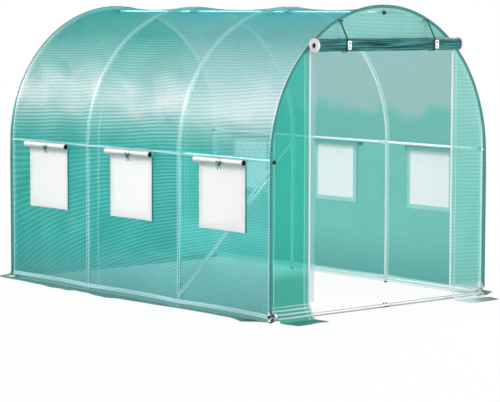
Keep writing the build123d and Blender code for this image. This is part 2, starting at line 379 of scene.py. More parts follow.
for name, nuts, finish, slot, wide in (
    ("black_bolts", black_nuts, foot_plastic, "foot_plastic", 0.022),
    ("zinc_bolts", zinc_nuts, zinc, "galvanised_tube", 0.016),
    ("bar_bolts", bar_nuts, foot_plastic, "foot_plastic", 0.009),
):
    places, aims = zip(*nuts)
    bolts = grown(
        aimed_points(name, places, aim=aims), fastener_tree(name, finish),
        {"washer_d": wide * 1.2, "nut_d": wide, "nut_h": wide * 0.72},
    )
    finish_piece(bolts, smooth=False)

# Tube joints
# The arches and the end bars are made of shorter tubes. A thin sleeve, rolled onto the tube, covers
# each joint: one to each side of the crown of every arch, one near the middle of each end bar.
def stacked(*parts):
    return np.stack(np.broadcast_arrays(*parts), axis=-1)


def swept(name, rings, finish, closed_ends=True):
    steps, around = rings.shape[:2]
    number = np.arange(steps * around).reshape(steps, around)
    after = np.roll(number, -1, axis=1)
    faces = stacked(number[:-1], after[:-1], after[1:], number[1:]).reshape(-1, 4).tolist()
    if closed_ends:
        faces += [number[0, ::-1].tolist(), number[-1].tolist()]
    mesh = bpy.data.meshes.new(name)
    mesh.from_pydata(rings.reshape(-1, 3).tolist(), [], faces)
    work = bmesh.new()
    work.from_mesh(mesh)
    bmesh.ops.recalc_face_normals(work, faces=work.faces)
    work.to_mesh(mesh)
    work.free()
    mesh.materials.append(finish)
    return linked(name, mesh)


def joined(name, made):
    with bpy.context.temp_override(active_object=made[0], selected_editable_objects=made):
        bpy.ops.object.join()
    made[0].name = name
    return made[0]


def ring_round(place, across, other, r, around):
    return [place + r * (cos(turn) * across + sin(turn) * other)
            for turn in np.linspace(0, 2 * pi, around, endpoint=False)]


def sleeve(name, line, r):
    lip_r = r - 0.0003
    radii = [lip_r, *[r] * (len(line) - 2), lip_r]
    return swept(name, np.array([
        ring_round(*map(Vector, spot), ring_r, 28) for spot, ring_r in zip(line, radii)
    ]), zinc)


sleeves = []
for station in hoop_stations:
    for side in (-1, 1):
        line = []
        for turn in np.linspace(radians(64.6), radians(69.4), 9):
            outwards = (side * cos(turn), 0, sin(turn))
            place = (outwards[0] * arch_r, station, leg_top + outwards[2] * arch_r)
            line.append((place, outwards, (0, 1, 0)))
        sleeves.append(sleeve(f"arch_sleeve_{station}_{side}", line, tube_r + 0.0005))
for end in (-1, 1):
    line = [((bar_joint_x + off, end * bar_y, 0.014), (0, 1, 0), (0, 0, 1))
            for off in np.linspace(-0.05, 0.05, 5)]
    sleeves.append(sleeve(f"bar_sleeve_{end}", line, tube_r + 0.0013))
finish_piece(joined("tube_sleeves", sleeves))

# Cover
# One sheet of clear green film, stiffened by a woven grid, runs from the ground on the left over
# all four hoops to the ground on the right. It is drawn down onto the rails between the hoops,
# and its edges lie out on the ground as skirts. Each side wall has three window holes.
film_r, film_end, film_sag = 1.0138, 1.5128, 0.0253
end_rows, calm_height, ground_lift, pleat_pitch = 1.478, 0.84, 0.0035, 0.024
arch_run = pi * film_r
section_run = 2 * leg_top + arch_run
bays = list(zip(hoop_stations[:-1], hoop_stations[1:]))
window_shift, window_half, window_sill, window_head = 0.025, 0.2, 0.62, 1.02
window_middles = [(near + far) / 2 + window_shift for near, far in bays]


def sag_at(y):
    depth = np.zeros_like(y)
    for near, far in bays:
        half = (far - near) / 2
        bow_r = (half**2 + film_sag**2) / (2 * film_sag)
        offset = np.clip(np.abs(y - (near + far) / 2), 0, half)
        inside = (y >= near) & (y <= far)
        depth = np.where(inside, film_sag - bow_r + np.sqrt(bow_r**2 - offset**2), depth)
    return depth


def slack(u, v, seed, waves=9, shortest=0.16, longest=0.7):
    dice = np.random.default_rng(seed)
    total = np.zeros(np.broadcast(u, v).shape)
    for _ in range(waves):
        length = dice.uniform(shortest, longest)
        way, phase = dice.uniform(0, pi), dice.uniform(0, 2 * pi)
        total = total + np.sin(2 * pi * (u * cos(way) + v * sin(way)) / length + phase)
    return total / sqrt(waves)


def cover_place(s, y, lift):
    angle = pi - np.clip(s - leg_top, 0, arch_run) / film_r
    right_drop = np.clip(s - leg_top - arch_run, 0, leg_top)
    up_x, up_z = np.cos(angle), np.sin(angle)
    on_wall = (s < leg_top) | (s > leg_top + arch_run)
    up_z = np.where(on_wall, 0, up_z)
    height = np.where(s < leg_top, s, leg_top - right_drop)
    r = film_r + lift
    return stacked(up_x * r, y, np.where(on_wall, height, leg_top + up_z * r))


def unit(share):
    return np.clip(share, 0, 1)


def cover_lift(s, y):
    tight = np.minimum(1, sag_at(y) / film_sag * 1.6)
    up_wall = np.minimum(s, section_run - s)
    near_rail = np.minimum(np.abs(up_wall - leg_top), np.abs(up_wall - section_run / 2))
    near_rail = np.minimum(near_rail, np.abs(up_wall))
    free = unit(near_rail / 0.22)
    soft = 0.0028 * slack(y, s, 4) * tight * free
    near_window = np.ones_like(up_wall)
    for middle in window_middles:
        across = unit((np.abs(y - middle) - 0.30) / 0.12)
        upwards = unit((np.abs(up_wall - calm_height) - 0.28) / 0.12)
        near_window = np.minimum(near_window, np.maximum(across, upwards))
    return -sag_at(y) + np.maximum(soft * near_window, -0.0004)


def marks(*stops, step):
    run = [stops[0]]
    for near, far in zip(stops[:-1], stops[1:]):
        count = max(1, round((far - near) / step))
        run += list(np.linspace(near, far, count + 1)[1:])
    return np.array(run)


def film_piece(name, places, cloth, finish, holes=None):
    rows, columns = places.shape[:2]
    number = np.arange(rows * columns).reshape(rows, columns)
    faces = stacked(number[:-1, :-1], number[:-1, 1:], number[1:, 1:], number[1:, :-1])
    if holes is not None:
        faces = faces[~holes]
    faces = faces.reshape(-1, 4)
    mesh = bpy.data.meshes.new(name)
    mesh.from_pydata(places.reshape(-1, 3).tolist(), [], faces.tolist())
    mesh.uv_layers.new(name="cloth")
    loop_points = np.zeros(len(mesh.loops), int)
    mesh.loops.foreach_get("vertex_index", loop_points)
    mesh.uv_layers["cloth"].data.foreach_set("uv", cloth.reshape(-1, 2)[loop_points].ravel())
    mesh.materials.append(finish)
    return linked(name, mesh)


def eased(value, start, end, low=0.0, high=1.0):
    return ramp(value, start, end, low, high, "SMOOTHSTEP")


def faded(value, start, end):
    return eased(value, start, end, 1.0, 0.0)


def lit_through(share, surface, colour):
    through = add_node(surface.id_data, "ShaderNodeBsdfTranslucent", {"Color": colour})
    return overlaid(share, surface, through)


def film_finish(name, pale, deep, cover, ripple, tint, roof=False, painted_tube_highlights=(), pleated=False,
                upright=False, clear_foot=False):
    made, tree, gloss = new_finish(name)
    cloth = add_node(tree, "ShaderNodeUVMap", uv_map="cloth").outputs[0]
    flat = parts_of(cloth)
    along, up = flat["X"], flat["Y"]
    drift, patch = noise(cloth, 0.9, 1.0), noise(cloth, 3.2, 3.0)
    crest_up = section_run / 2
    from_ridge = reckon("ABSOLUTE", reckon("SUBTRACT", up, crest_up))

    def wave(value, pitch):
        return reckon("SINE", times(value, 2 * pi / pitch))

    def lay(mask, over=None, most=1.0, thicker=0.0, clearer=None):
        nonlocal colour, share, tint
        if over is not None:
            colour = blend(mask if most == 1.0 else times(mask, most), colour, over)
        if thicker:
            share = fused(mask, thicker, share)
        if clearer is not None:
            tint = blend(mask, tint, clearer)

    # The woven grid: a thread along and a thread up every cell.
    cell, thread = 0.0085, 0.0
    for way in (along, up):
        line = times(reckon("PINGPONG", way, cell / 2), 2 / cell)
        thread = reckon("MAXIMUM", faded(line, 0.0, 0.22), thread)

    # The ripples: shallow ridges along the film, broken up by the threads that cross them. On the
    # cover they climb towards the front, most near the ground, and die away at the crest. On the
    # sheet beside the doorway they stand upright.
    steep, level = (0.36, 0.06) if roof else (0.04, 0.04)
    climb = ramp(up, 0.1, leg_top, steep, level)
    ridge_way, cross_way, ridge_pitch, bend = (
        (along, up, 0.019, 0.02) if upright else (up, along, 0.0265, 0.08))
    lean = fused(drift, bend, fused(cross_way, climb, ridge_way))
    crossing = wave(fused(drift, 0.05, fused(ridge_way, 0.22, cross_way)), 0.034)
    band = times(wave(lean, ridge_pitch), fused(crossing, 0.45, 0.70))
    strength = eased(patch, 0.30, 0.58, 0.55, 1.0)
    if roof:
        strength = times(strength, eased(from_ridge, 0.35, 0.75, 0.2, 1.0),
                         eased(up, crest_up, crest_up + 0.6, 1.0, 0.45))
    band = times(band, strength)
    share = fused(thread, 0.08, fused(band, ripple, cover))
    # Painted light and shade of the ridges: the colour runs pale along them and deep between them.
    colour = blend(fused(band, ripple * 5, patch), deep, pale)
    if upright:
        share = reckon("ADD", share, eased(up, 0.26, 0.38, 0.32, 0.0))
        lay(eased(up, 0.26, 0.38, 0.35, 0.0), (0.010, 0.22, 0.17))
    height = fused(patch, 0.0009, fused(thread, 0.00004, times(band, ripple * 0.004)))

    # The roof is clearer than the walls, and above a line that wanders it is painted paler and greyer,
    # painted light; below that line on the right it is painted in shade. It is clearest at the crest,
    # and painted dark just past it on the right, a painted shadow of the crest.
    if roof:
        far_half = eased(up, crest_up - 0.2, crest_up + 0.2)
        wandering = fused(far_half, -0.09, fused(patch, fused(far_half, 0.18, 0.30), from_ridge))
        lay(far_half, (0.03, 0.37, 0.30), 0.5, clearer=(0.48, 0.84, 0.77))
        # Painted light: paler and greyer above the wandering line, most on the right.
        lay(faded(wandering, 1.41, 1.56), blend(far_half, (0.14, 0.31, 0.32), (0.12, 0.27, 0.26)),
            fused(far_half, 0.54, 0.28), -0.08, blend(far_half, (0.68, 0.92, 0.97), (0.62, 0.87, 0.87)))
        lay(eased(from_ridge, 0.30, 0.60, 0.85, 0.0), clearer=(0.33, 0.89, 0.96))
        lay(eased(from_ridge, 0.03, 0.08, 0.75, 0.0), clearer=(0.90, 0.97, 0.97))
        share = reckon("ADD", share, eased(from_ridge, 0.16, 0.38, -0.20, 0.0))
        # Painted shade below the wandering line on the right.
        shaded = times(far_half, eased(wandering, 1.44, 1.56, 0.0, 0.45),
                       faded(from_ridge, 1.57, 1.61))
        lay(shaded, (0.015, 0.22, 0.18))
        # Painted highlight: a pale band along the left shoulder of the roof.
        shoulder_highlight = times(faded(wandering, 1.40, 1.50), eased(wandering, 0.72, 1.12, 0.0, 0.24),
                          faded(up, crest_up - 0.2, crest_up))
        lay(shoulder_highlight, (0.62, 0.84, 0.82))
        # Painted shadow: darker and thicker just past the crest on the right.
        crest_shadow = times(eased(up, crest_up + 0.020, crest_up + 0.035),
                           faded(up, crest_up + 0.20, crest_up + 0.32))
        lay(crest_shadow, (0.025, 0.11, 0.11), 0.95, 0.45, (0.35, 0.58, 0.58))

        # The front bay is thinner, painted pale above the rail as a painted highlight, and clearer and
        # painted brighter below it, painted light from the lit inside seen through it. A crease runs up
        # the left wall, and the foot of both walls is darker and thicker.
        front_bay = times(reckon("SUBTRACT", 1.0, far_half), faded(along, -0.60, -0.48))
        thinned = times(front_bay, eased(from_ridge, 1.30, 1.45, 0.0, 0.24),
                        faded(from_ridge, 1.95, 2.10))
        share = reckon("SUBTRACT", share, thinned)
        lay(times(thinned, 2.0), clearer=(0.62, 0.93, 0.93))
        # Painted highlight: pale above the rail in the front bay.
        front_highlight = times(front_bay, eased(from_ridge, 0.6, 1.0, 0.0, 0.38),
                     eased(from_ridge, 1.40, 1.60, 1.0, 0.25), faded(from_ridge, 1.9, 2.3))
        lay(front_highlight, (0.56, 0.82, 0.80))
        # Painted light: brighter and clearer below the rail in the front bay.
        front_light_below_rail = times(front_bay, eased(from_ridge, 1.50, 1.66, 0.0, 0.50),
                      faded(from_ridge, 2.1, 2.4))
        lay(front_light_below_rail, (0.16, 0.84, 0.80), thicker=-0.16)
        crease_off = reckon("ABSOLUTE", fused(patch, 0.05, reckon("ADD", along, -0.435)))
        crease = times(eased(crease_off, 0.004, 0.018, 0.30, 0.0), faded(up, 1.15, 1.5))
        lay(crease, (0.45, 0.82, 0.80))
        darker_foot = eased(fused(patch, 0.12, from_ridge), crest_up - 0.40, crest_up + 0.05)
        lay(darker_foot, (0.055, 0.25, 0.27), 0.58, 0.13)
        on_ground = eased(from_ridge, crest_up - 0.012, crest_up + 0.012)
        past_foot = fused(eased(along, -1.30, -1.15, 0.8, 0.0), on_ground, times(on_ground, 0.2))
        foot = times(far_half, eased(from_ridge, crest_up - 0.031, crest_up - 0.027),
                     reckon("SUBTRACT", 1.0, past_foot))
    else:
        on_ground = faded(up, -0.06, -0.03)

    # Where the film lies on a tube it is painted pale, a painted highlight of the tube seen through
    # it: two thin lines on a hoop, a band on a rail. Each entry gives its slope and offset on the
    # cloth, how far apart and how wide its lines are, how much fills the gap between them, and where
    # along the film it starts and stops.
    for line_along, line_up, line_off, apart, width, between, near, far in painted_tube_highlights:
        off = reckon("ABSOLUTE", fused(along, line_along, fused(up, line_up, -line_off)))
        edge = reckon("ABSOLUTE", reckon("SUBTRACT", off, apart))
        tube_highlight = reckon("MAXIMUM", eased(edge, width, width + 0.003, 0.85, 0.0),
                     eased(off, apart, apart + 0.004, between, 0.0))
        if far > near:
            tube_highlight = times(tube_highlight, reckon("COMPARE", along, (near + far) / 2, (far - near) / 2))
        # Painted highlight of the tube under the film: paler and thicker.
        lay(tube_highlight, (0.66, 0.95, 0.93), thicker=0.16)

    # Hem pleats catch the light, their highlights painted on as pale lines, and what lies out on the
    # ground is doubled, darker and greyer. To the right of the doorway the foot is worn clear, and the
    # skirt is painted pale and then dark outwards, painted light and shade across it.
    if pleated:
        # Painted highlight on the hem pleats.
        hemmed = times(eased(up, 0.008, 0.02), faded(up, 0.095, 0.11))
        lay(hemmed, (0.76, 0.94, 0.92), eased(wave(up, pleat_pitch), 0.1, 0.9, 0.10, 0.90), 0.08)
    if clear_foot:
        lay(eased(up, 0.5, 1.3, 0.0, 0.14), (0.66, 0.88, 0.84))
        worn = times(eased(up, 0.004, 0.012), faded(up, 0.098, 0.122))
        lay(worn, (0.88, 0.94, 0.93), 0.70, -0.34, white)
    lay(on_ground, (0.055, 0.20, 0.18), eased(patch, 0.35, 0.62, 0.65, 1.0), 0.14)
    if clear_foot:
        # Painted light and shade: the skirt beside the doorway runs from pale to dark outwards.
        outward = fused(up, -0.65, times(along, 0.76))
        lay(on_ground, (0.72, 0.86, 0.84), eased(outward, 0.62, 0.78, 0.90, 0.0))
        lay(on_ground, (0.02, 0.07, 0.07), eased(outward, 0.72, 0.82, 0.0, 0.92))
    if roof:
        lay(past_foot, (0.012, 0.06, 0.055), faded(along, -1.34, -1.22))
        lay(foot, (0.86, 0.90, 0.90), thicker=-0.60, clearer=white)

    feed(gloss, {
        "Base Color": colour, "Roughness": eased(patch, 0.3, 0.7, 0.34, 0.44),
        "Specular IOR Level": 0.35, "Normal": uneven(height, 0.8, 1.0),
    })
    if roof:
        feed(gloss, {"Specular IOR Level": eased(from_ridge, 0.15, 0.60, 0.03, 0.35)})
    clear = add_node(tree, "ShaderNodeBsdfTransparent", {"Color": tint})
    show(overlaid(share, clear, lit_through(0.42, gloss, colour)))
    return made


hoop_lines = [(1, 0, station, 0.0115, 0.0016, 0.22, 0, 0) for station in hoop_stations]
rail_bands = [(0, 1, height, 0.0, wide, 0.85, 0, 0) for height, wide in (
    (leg_top, 0.005), (section_run - leg_top, 0.005), (section_run / 2 - 0.012, 0.006),
    (0.041, 0.013), (section_run - 0.041, 0.013),
)]
brace_rise, brace_run, brace_foot = 0.940, 0.965, 0.082
brace_long = sqrt(brace_rise**2 + brace_run**2)
brace_along, brace_up = brace_rise / brace_long, brace_run / brace_long
brace_lines = [(brace_along, way * brace_up, off, 0.009, 0.001, 0.25, near, far) for way, off, near, far in (
    (1, -0.535 * brace_along + brace_foot * brace_up, -1.5, -0.535),
    (-1, 1.5 * brace_along - (section_run - brace_foot) * brace_up, 0.535, 1.5),
)]
cover_film = film_finish(
    "cover_film", (0.050, 0.51, 0.465), (0.010, 0.29, 0.265), 0.68, 0.135, (0.46, 0.84, 0.86),
    roof=True, painted_tube_highlights=hoop_lines + rail_bands + brace_lines,
)
# The film over each net has its own paler finish: painted light, making up for the net's shade behind it.
lap_film = film_finish("lap_film", (0.44, 0.82, 0.76), (0.36, 0.76, 0.70), 0.77, 0.02, (0.9, 1.0, 1.0))
lap_half, lap_sill, lap_head = 0.246, 0.574, 1.062
run_y = marks(-film_end, -1.5, *[
    middle + off for middle in window_middles for off in (-lap_half, -window_half, window_half, lap_half)
], 1.5, film_end, step=0.016)
left_marks = [0.0, 0.006, 0.02, 0.05, lap_sill, window_sill, window_head, lap_head]
run_s = marks(
    *left_marks, leg_top, leg_top + arch_run / 2, leg_top + arch_run,
    *[section_run - height for height in left_marks[::-1]], step=0.021
)
grid_s, grid_y = np.meshgrid(run_s, run_y, indexing="ij")
cover_grid = cover_place(grid_s, grid_y, cover_lift(grid_s, grid_y))
cover_grid[..., 2] = np.maximum(cover_grid[..., 2], 0.004)

# The skirt's outer edge wanders. At the front it is cut back slantwise to the corner on the left,
# and at the rear both ends are drawn out over the rear sheet's skirt.
skirt_out = np.array([0.0, 0.03, 0.08, 0.2, 0.35, 0.5, 0.65, 0.8, 0.92, 1.0])


def skirt_rows(side, seed, stations, widths):
    edge = np.interp(run_y, stations, widths) + 0.006 * slack(run_y, 0, seed, 5, 0.3, 1.2)
    edge = np.maximum(edge, 0.004)
    foot = film_r - sag_at(run_y)
    out, y = np.meshgrid(skirt_out, run_y, indexing="ij")
    corner = unit((y - 1.49) / 0.022)
    y = y + 0.110 * corner * unit(out * 4)
    reach = foot + (film_r + edge - foot) * out
    waves = 0.005 * np.clip(slack(y, 0, seed + 1, 6, 0.12, 0.5), 0, 2)
    rise = ground_lift + waves * out + 0.006 * corner * out
    return stacked(side * reach, y, rise), edge[None, :] * out


skirt_stations = (
    -film_end, -1.42, -1.34, -1.04, -0.62, -0.21, 0.1, 0.57, 0.60, 0.95, 1.38, film_end)
left_skirt, left_run = skirt_rows(-1, 21, skirt_stations, (
    0.0, 0.02, 0.10, 0.045, 0.05, 0.085, 0.14, 0.085, 0.13, 0.10, 0.080, 0.084))
right_skirt, right_run = skirt_rows(1, 33, skirt_stations, (
    0.05, 0.215, 0.215, 0.19, 0.15, 0.13, 0.15, 0.12, 0.13, 0.12, 0.09, 0.05))
cover_places = np.concatenate([left_skirt[:0:-1], cover_grid, right_skirt[1:]])
cover_cloth = np.concatenate([
    stacked(left_skirt[:0:-1, :, 1], -left_run[:0:-1]), stacked(grid_y, grid_s),
    stacked(right_skirt[1:, :, 1], section_run + right_run[1:]),
])
middle_s = (cover_cloth[:-1, :-1, 1] + cover_cloth[1:, 1:, 1]) / 2
middle_y = (cover_cloth[:-1, :-1, 0] + cover_cloth[1:, 1:, 0]) / 2
up_side = np.minimum(middle_s, section_run - middle_s)
window_holes = np.zeros(middle_s.shape, bool)
for middle in window_middles:
    window_holes |= (
        (np.abs(middle_y - middle) < window_half) & (up_side > window_sill) & (up_side < window_head)
    )
corner_cut, rear_cut = 0.062, 0.020
window_holes |= (middle_y < -end_rows) & (up_side > 0) & (up_side < corner_cut)
window_holes |= (middle_y > end_rows) & (up_side > 0) & (up_side < rear_cut)
cover = film_piece("cover", cover_places, cover_cloth, cover_film, window_holes)
cover.data.materials.append(lap_film)
for polygon in cover.data.polygons:
    y, z = polygon.center.y, polygon.center.z
    for middle in window_middles:
        if abs(y - middle) < lap_half and lap_sill < z < lap_head:
            polygon.material_index = 1
finish_piece(cover)
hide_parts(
    *[f"{side}_{part}_{bay}" for side in ("left", "right") for part in ("wall", "roof")
             for bay in ("front", "middle", "rear")], "left_skirt", "right_skirt"
)

# End sheets
# Each end is closed by a flat sheet of the same film, sewn to the cover round the arch. The front
# one has the doorway in it. Both turn out onto the ground in a skirt, with hem pleats above it.
panel_y, door_half, door_top = 1.5141, 0.675, 1.80
flare_height, flare_reach, panel_skirt, skirt_from = 0.10, 0.062, 0.215, 1.57
panel_tube_highlights = [(1, 0, -1, 0.0110, 0.0005, 0.08, 0, 0), (1, 0, 1, 0.0110, 0.0030, 0.50, 0, 0)] + [
    (1, 0, side * (door_half + 0.028), 0.020, 0.0006, 0.12, 0, 0) for side in (-1, 1)]
panel_film = film_finish(
    "panel_film", (0.038, 0.49, 0.39), (0.014, 0.41, 0.325), 0.56, 0.040, (0.38, 0.95, 0.88),
    painted_tube_highlights=panel_tube_highlights, pleated=True, upright=True,
)
rear_film = film_finish(
    "rear_film", (0.038, 0.49, 0.39), (0.014, 0.41, 0.325), 0.84, 0.012, (0.30, 0.90, 0.85),
    painted_tube_highlights=panel_tube_highlights, pleated=True,
)
pale_film = film_finish(
    "pale_film", (0.30, 0.67, 0.61), (0.22, 0.59, 0.53), 0.72, 0.090, (0.85, 1.0, 1.0),
    painted_tube_highlights=panel_tube_highlights, pleated=True, clear_foot=True,
)


def arch_height(x):
    return leg_top + np.sqrt(np.maximum(film_r**2 - x**2, 0))


def panel_rows(x, bottom, shares, seed, side):
    top = arch_height(x)
    z = bottom + (top - bottom) * shares[:, None]
    loose = unit((top - z) / 0.15) * unit((film_r - np.abs(x)) / 0.08)
    loose = loose * unit(np.maximum((np.abs(x) - door_half) / 0.05, (z - door_top) / 0.1))
    flare = unit(1 - z / flare_height) ** 1.4 * flare_reach
    folds = 0.0035 * slack(x * 2.2, z * 0.6, seed) * loose
    pleats = 0.0045 * (1 + np.sin(2 * pi * (z / pleat_pitch + 0.12 * np.sin(7 * x)))) * unit(
        np.minimum((0.115 - z) / 0.02, (z - 0.006) / 0.02)) * unit((np.abs(x) - door_half) / 0.05)
    y = side * (panel_y + np.maximum(0.0, 0.004 * loose + folds) + flare + pleats)
    return stacked(x, y, z), stacked(x, z)


def ground_rows(x, side, seed, flared=0.0):
    out = np.array([1.0, 0.86, 0.7, 0.52, 0.36, 0.2, 0.08])[:, None]
    corner = np.clip((0.992 + flared * 0.4 - np.abs(x)) / (0.03 + flared * 1.5), 0.05 + flared * 3.5, 1)
    wander = 1 + 0.03 * slack(x, 0, seed, 4, 0.25, 0.9)
    near = panel_y + flare_reach + 0.002
    far = panel_y + flare_reach + (panel_skirt - flare_reach) * corner * wander
    y = near + (far - near) * out
    rise = ground_lift + 0.004 * np.clip(slack(x, 0, seed + 5, 5, 0.1, 0.35), 0, 2) * out
    spread_x = x + np.sign(x) * flared * unit((np.abs(x) - 0.90) / 0.1) * out
    return stacked(spread_x, side * y, rise), stacked(x, -(y - near) - 0.06)


pleats_top, first_z = 0.075, 0.004
pleat_marks = marks(0.0, 0.003, pleats_top, step=0.0032)
lower_shares = np.concatenate([
    pleat_marks, marks(pleats_top, door_top / arch_height(door_half), step=0.018)[1:]])
upper_shares = np.linspace(0, 1, 9)
side_shares = np.concatenate([
    lower_shares, lower_shares[-1] + (1 - lower_shares[-1]) * upper_shares[1:]])
rear_shares = np.concatenate([pleat_marks, marks(pleats_top, 1.0, step=0.016)[1:]])


def corner_faces(places):
    middle = (places[:-1, :-1] + places[1:, 1:]) / 2
    x, y, z = np.moveaxis(middle, -1, 0)
    cut = np.where(y > 0, rear_cut, corner_cut)
    return (np.abs(x) > leg_inner) & (z < cut) & (y < skirt_from)


def end_sheet(name, blocks):
    sheet = joined(name, [
        film_piece(f"{name}_{number}", places, cloth, finish, corner_faces(places))
        for number, (places, cloth, finish) in enumerate(blocks)
    ])
    work = bmesh.new()
    work.from_mesh(sheet.data)
    bmesh.ops.remove_doubles(work, verts=work.verts, dist=0.0004)
    work.to_mesh(sheet.data)
    work.free()
    return finish_piece(sheet)


def with_skirt(ground, rows):
    return [np.concatenate(pair) for pair in zip(ground, rows)]


edge_turn = np.linspace(0, 1, 26)
left_x = -film_r + (film_r - door_half) * (1 - np.cos(edge_turn * pi / 2))
door_x = np.linspace(-door_half, door_half, 70)
front_sheet = end_sheet("front_sheet", [
    (*with_skirt(ground_rows(columns, -1, 61), panel_rows(columns, first_z, side_shares, 51, -1)), finish)
    for columns, finish in ((left_x, panel_film), (-left_x[::-1], pale_film))
] + [(*panel_rows(door_x, door_top, upper_shares, 51, -1), pale_film)])
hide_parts("front_panel_left", "front_panel_right", "front_panel_top",
            "front_left_skirt", "front_right_skirt")

rear_x = film_r * np.sin(np.linspace(-pi / 2, pi / 2, 120))
rear_places, rear_cloth = with_skirt(
    ground_rows(rear_x, 1, 67, flared=0.07), panel_rows(rear_x, first_z, rear_shares, 57, 1))
rear_sheet = end_sheet("rear_sheet", [(rear_places[:, ::-1], rear_cloth[:, ::-1], rear_film)])
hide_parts("rear_panel", "rear_skirt")

# Edge binding
# A dark green tape is folded over the seam between the cover and each end sheet, from the ground
# up one leg, round the arch and down the other, and stitched through.
def plain_finish(name, pale, deep, rough, scale, weave=0.0, gloss=0.3, glow=0.0, stretch=1.0, span=0.5,
                 under=None):
    made, tree, surface = new_finish(name)
    place = object_place(tree)
    spread = add_node(tree, "ShaderNodeVectorMath", {0: place, 1: (stretch, 1, 1)}, operation="MULTIPLY")
    blotch = noise(spread.outputs[0], scale, 5.0)
    colour = blend(ramp(blotch, 0.5 - span, 0.5 + span), deep, pale)
    # Painted shade: faces that point down take the under colour.
    if under:
        colour = blend(ramp(facing_up(tree), -0.45, 0.0, 1.0, 0.0), colour, under)
    height = blotch
    if weave:
        flat = parts_of(place)
        for way in ("X", "Y", "Z"):
            height = fused(reckon("PINGPONG", flat[way], weave / 2), 1 / weave, height)
    feed(surface, {
        "Base Color": colour, "Roughness": rough, "Specular IOR Level": gloss,
        "Normal": uneven(height, 0.35, 0.0006),
    })
    if glow:
        show(lit_through(glow, surface, colour))
    return made


def stitch_tree(name, finish):
    tree, given = sized_tree(name, ("stitch_length", "stitch_width"))
    bead = add_node(tree, "GeometryNodeMeshUVSphere", {"Segments": 6, "Rings": 4, "Radius": 0.5})
    bead_size = add_node(tree, "ShaderNodeCombineXYZ", {
        "X": given["stitch_length"], "Y": given["stitch_width"], "Z": times(given["stitch_width"], 0.7),
    })
    return set_on_points(
        tree, given, finish, [("X", "AUTO", "aim"), ("Z", "X", "facing")],
        {"Instance": bead.outputs["Mesh"], "Scale": bead_size.outputs[0]},
    )


def stitched(name, seams, thread, pitch=0.011, length=0.0075, width=0.0016):
    places, aims, facings = [], [], []
    for line, facing in seams:
        line = np.asarray(line, float)
        facing = np.broadcast_to(np.asarray(facing, float), line.shape)
        run = np.concatenate([[0], np.cumsum(np.linalg.norm(np.diff(line, axis=0), axis=1))])
        spots = np.arange(pitch / 2, run[-1] - pitch / 2, pitch)

        def along(values, at):
            return stacked(*[np.interp(at, run, way) for way in values.T])

        here, ahead = along(line, spots), along(line, spots + 0.001)
        places += here.tolist()
        aims += (ahead - here).tolist()
        facings += along(facing, spots).tolist()
    sewn = grown(
        aimed_points(name, places, aim=aims, facing=facings), stitch_tree(name, thread),
        {"stitch_length": length, "stitch_width": width},
    )
    return finish_piece(sewn)


binding_tape = plain_finish("binding_tape", (0.045, 0.27, 0.24), (0.02, 0.17, 0.155), 0.6, 30.0, 0.0022)
pale_thread = plain_finish("pale_thread", (0.26, 0.56, 0.52), (0.18, 0.46, 0.42), 0.6, 200.0)
# Painted light: the rear tape is a paler copy of the binding tape, where it stands in shade.
lit_rear_tape = plain_finish("lit_rear_tape", (0.12, 0.47, 0.42), (0.07, 0.36, 0.32), 0.6, 30.0, 0.0022)
for end_name, side, flange, tape in (
    ("front", -1, 0.0128, binding_tape), ("rear", 1, 0.0045, lit_rear_tape),
):
    # Each corner of the folded tape: how far it stands off the film, and how far from the middle.
    binding_section = [
        (-0.0070, 1.5148), (-0.0070, 1.5166), (flange - 0.0028, 1.5172), (flange, 1.5160),
        (flange - 0.0028, 1.5146), (0.0014, 1.5138), (0.0010, 1.5040), (0.0002, 1.5040), (0.0002, 1.5146),
    ]
    cut = corner_cut if side < 0 else rear_cut
    binding_run = marks(cut, leg_top, leg_top + arch_run, section_run - cut, step=0.025)
    right_leg = unit((binding_run - leg_top - arch_run + 0.35) / 0.5)
    left_leg = unit((leg_top + 0.35 - binding_run) / 0.5)
    wider = 1 + (1.1 * right_leg if side < 0 else 2.2 * left_leg)

    def folded(lift, y):
        return cover_place(binding_run, side * y, lift * (wider if lift > 0.0015 else 1))

    rings = np.stack([folded(lift, y) for lift, y in binding_section], axis=1)
    finish_piece(swept(f"{end_name}_binding", rings, tape), smooth=False)
    stitched(f"{end_name}_binding_stitches", [(folded(0.001, 1.5172), (0, side, 0))], pale_thread,
             pitch=0.022, length=0.012, width=0.003)

# Window nets
# A patch of fine white net covers each window hole from outside. It is hemmed all round with a
# white tape and sewn to the film, and painted grey along the top, a painted shadow of the roll.
net_lap, net_sill, net_head = 0.044, 0.576, 1.060
net_half = window_half + net_lap
net_mesh, puff_z, stand_offs = 0.0008, 0.82, {-1: 0.007, 1: 0.0}
net_cloth, net_tree, net_surface = new_finish("net_cloth")
net_uv = add_node(net_tree, "ShaderNodeUVMap", uv_map="cloth").outputs[0]
net_flat = parts_of(net_uv)
net_hole = net_height = 0.0
for way in ("X", "Y"):
    yarn = times(reckon("PINGPONG", net_flat[way], net_mesh), 1 / net_mesh)
    net_height = reckon("ADD", yarn, net_height)
    net_hole = reckon("MAXIMUM", yarn, net_hole)
net_colour = blend(noise(net_uv, 9.0, 3.0), (0.955, 0.905, 0.91), (0.99, 0.935, 0.94))
# Painted shadow of the roll: grey along the top of the net.
net_colour = blend(eased(net_flat["Y"], 0.985, 1.015, 0.0, 0.75), net_colour, (0.52, 0.60, 0.59))
feed(net_surface, {
    "Base Color": net_colour, "Roughness": 0.8, "Sheen Weight": 0.15,
    "Normal": uneven(net_height, 0.4, 0.0005),
})
net_clear = add_node(net_tree, "ShaderNodeBsdfTransparent")
net_share = ramp(net_hole, 0.2, 1.0, 0.90, 0.99)
show(overlaid(net_share, net_clear, lit_through(0.25, net_surface, net_colour)))

